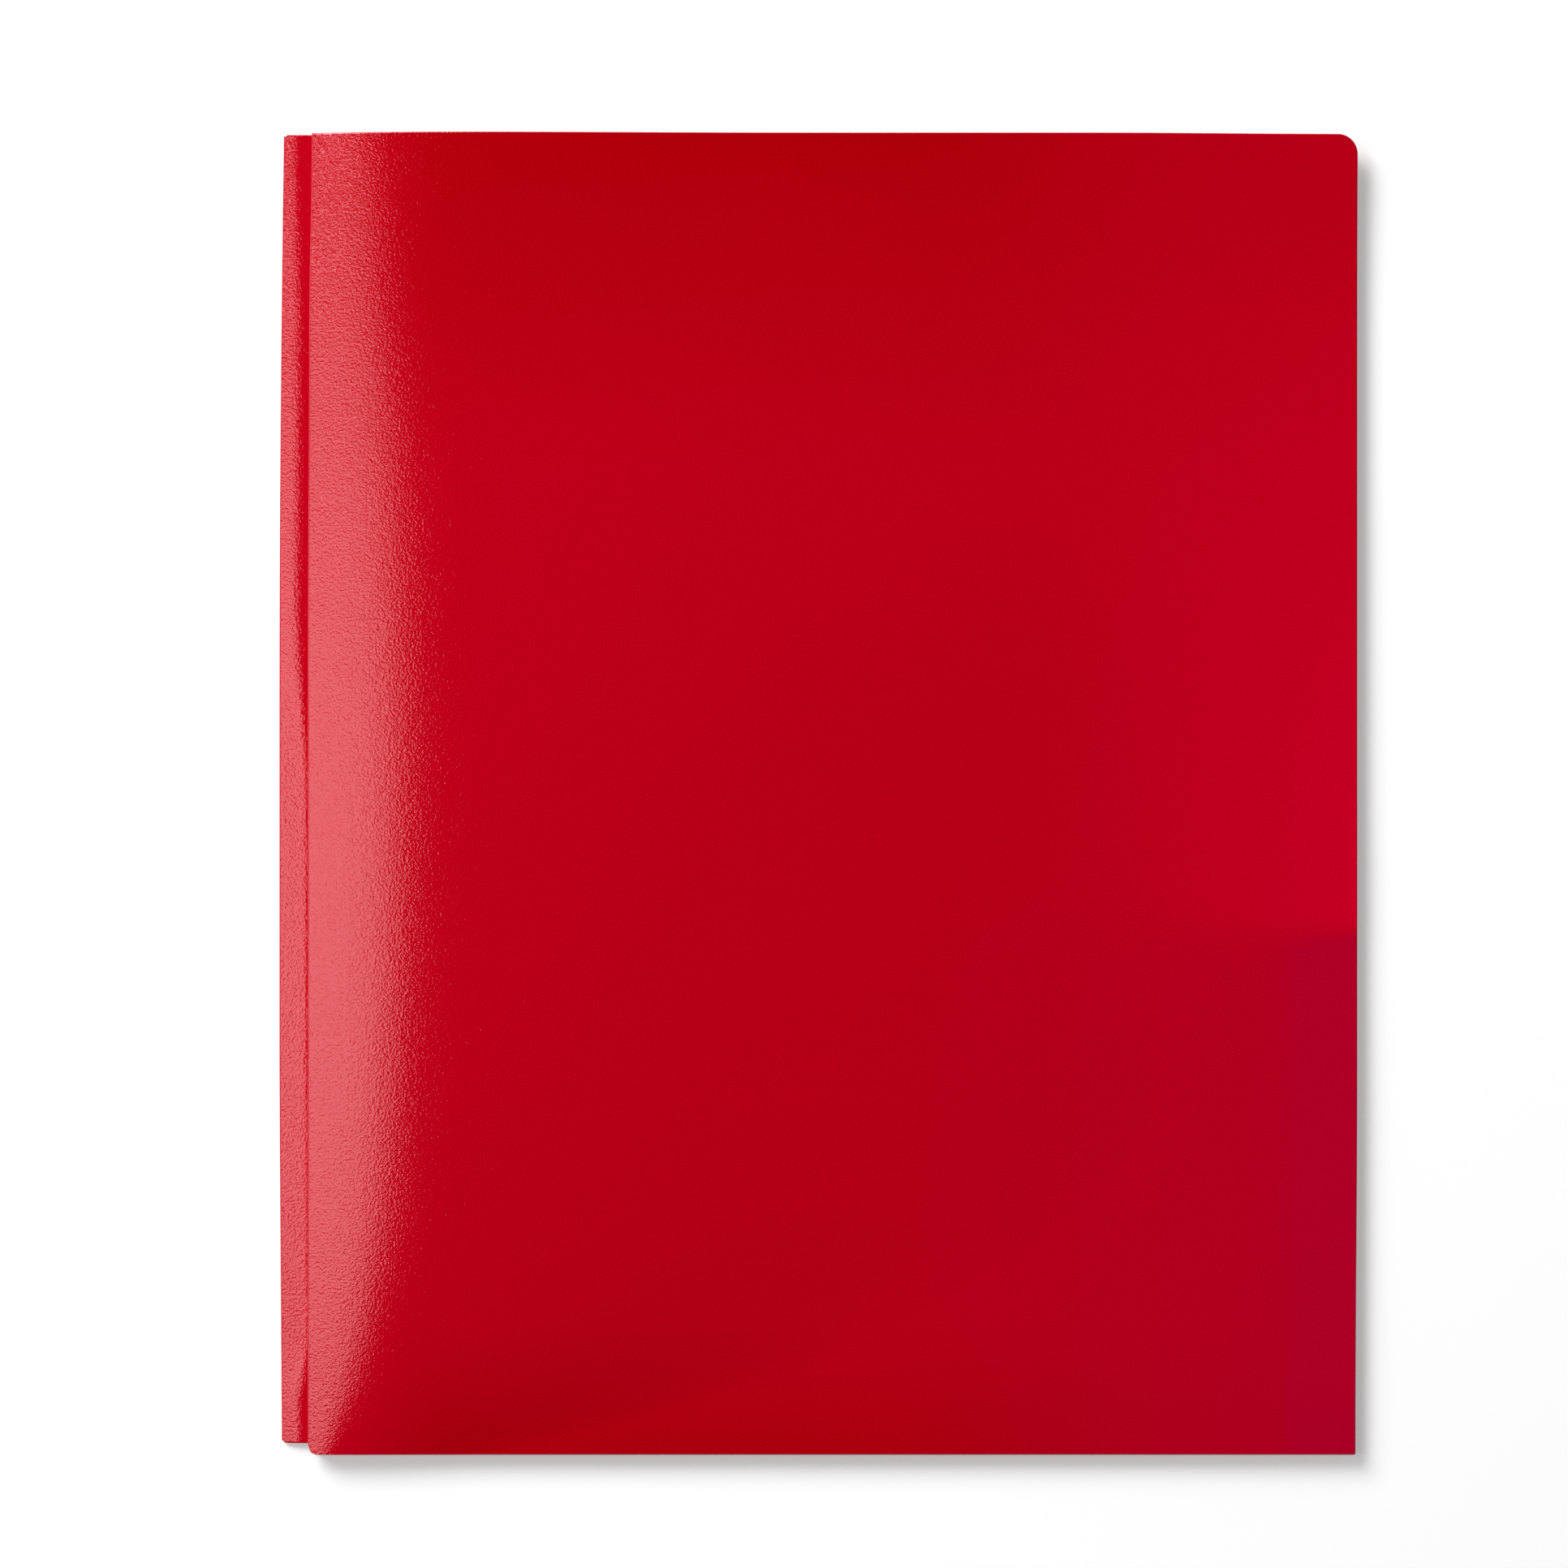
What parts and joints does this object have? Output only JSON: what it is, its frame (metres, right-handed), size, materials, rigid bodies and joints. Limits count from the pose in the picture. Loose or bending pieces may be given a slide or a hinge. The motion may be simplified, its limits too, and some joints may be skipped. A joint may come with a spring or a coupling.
{
  "type": "two pocket folder",
  "caption": "Letter-size polypropylene folder with hinged covers, a pleated spine with bendable paper tangs, and an open-topped pocket inside each cover.",
  "frame": {"origin": "under the middle of the closed folder, on the surface that the back cover lies on", "axes": "+X from the spine to the fore edge, +Y from the pocket folds to the top edge, +Z out of the front cover"},
  "size_m": [0.2413, 0.296, 0.0098],
  "materials": {
    "polypropylene": "fine sand-embossed red polypropylene sheet",
    "tang_steel": "bright tinned steel strip"
  },
  "bodies": {
    "back": {"back_cover": "polypropylene", "back_pocket_tab": "polypropylene", "back_pocket_fold": "polypropylene", "back_spine_fold": "polypropylene"},
    "back_pocket": {"back_pocket": "polypropylene"},
    "pleat": {"back_pleat_panel": "polypropylene", "pleat_ridge": "polypropylene", "front_pleat_panel": "polypropylene", "front_spine_fold": "polypropylene", "fastener_base_top": "tang_steel", "fastener_base_middle": "tang_steel", "fastener_base_bottom": "tang_steel"},
    "front": {"front_cover": "polypropylene", "front_pocket_tab": "polypropylene", "front_pocket_fold": "polypropylene"},
    "front_pocket": {"front_pocket": "polypropylene"},
    "tang_top_upper": {"tang_top_upper": "tang_steel"},
    "tang_top_lower": {"tang_top_lower": "tang_steel"},
    "tang_middle_upper": {"tang_middle_upper": "tang_steel"},
    "tang_middle_lower": {"tang_middle_lower": "tang_steel"},
    "tang_bottom_upper": {"tang_bottom_upper": "tang_steel"},
    "tang_bottom_lower": {"tang_bottom_lower": "tang_steel"}
  },
  "joints": [
    {"name": "pleat_turn", "type": "hinge", "parent": "back", "child": "pleat", "pos_m": [-0.11965, 0, 0.001], "axis": [0, -1, 0], "range_deg": [0, 90], "deforming": ["back_spine_fold"]},
    {"name": "cover_open", "type": "hinge", "parent": "pleat", "child": "front", "pos_m": [-0.11315, 0, 0.00355], "axis": [0, -1, 0], "range_deg": [0, 165], "deforming": ["front_spine_fold"]},
    {"name": "back_pocket_gape", "type": "hinge", "parent": "back", "child": "back_pocket", "pos_m": [0, -0.1472, 0.00085], "axis": [1, 0, 0], "range_deg": [0, 6], "deforming": ["back_pocket_fold"]},
    {"name": "front_pocket_gape", "type": "hinge", "parent": "front", "child": "front_pocket", "pos_m": [0, -0.1472, 0.00395], "axis": [-1, 0, 0], "range_deg": [0, 6], "deforming": ["front_pocket_fold"]},
    {"name": "tang_top_upper_bend", "type": "hinge", "parent": "pleat", "child": "tang_top_upper", "pos_m": [-0.10215, 0.10825, 0.00325], "axis": [1, 0, 0], "range_deg": [0, 90]},
    {"name": "tang_top_lower_bend", "type": "hinge", "parent": "pleat", "child": "tang_top_lower", "pos_m": [-0.10215, 0.10775, 0.00325], "axis": [-1, 0, 0], "range_deg": [0, 90]},
    {"name": "tang_middle_upper_bend", "type": "hinge", "parent": "pleat", "child": "tang_middle_upper", "pos_m": [-0.10215, 0.00025, 0.00325], "axis": [1, 0, 0], "range_deg": [0, 90]},
    {"name": "tang_middle_lower_bend", "type": "hinge", "parent": "pleat", "child": "tang_middle_lower", "pos_m": [-0.10215, -0.00025, 0.00325], "axis": [-1, 0, 0], "range_deg": [0, 90]},
    {"name": "tang_bottom_upper_bend", "type": "hinge", "parent": "pleat", "child": "tang_bottom_upper", "pos_m": [-0.10215, -0.10775, 0.00325], "axis": [1, 0, 0], "range_deg": [0, 90]},
    {"name": "tang_bottom_lower_bend", "type": "hinge", "parent": "pleat", "child": "tang_bottom_lower", "pos_m": [-0.10215, -0.10825, 0.00325], "axis": [-1, 0, 0], "range_deg": [0, 90]}
  ],
  "couplings": [
    {"joint": "back_pocket_gape", "follows": "cover_open", "ratio": 0.036363},
    {"joint": "front_pocket_gape", "follows": "cover_open", "ratio": 0.036363},
    {"joint": "tang_top_upper_bend", "follows": "cover_open", "ratio": 0.54545},
    {"joint": "tang_top_lower_bend", "follows": "cover_open", "ratio": 0.54545},
    {"joint": "tang_middle_upper_bend", "follows": "cover_open", "ratio": 0.54545},
    {"joint": "tang_middle_lower_bend", "follows": "cover_open", "ratio": 0.54545},
    {"joint": "tang_bottom_upper_bend", "follows": "cover_open", "ratio": 0.54545},
    {"joint": "tang_bottom_lower_bend", "follows": "cover_open", "ratio": 0.54545}
  ]
}
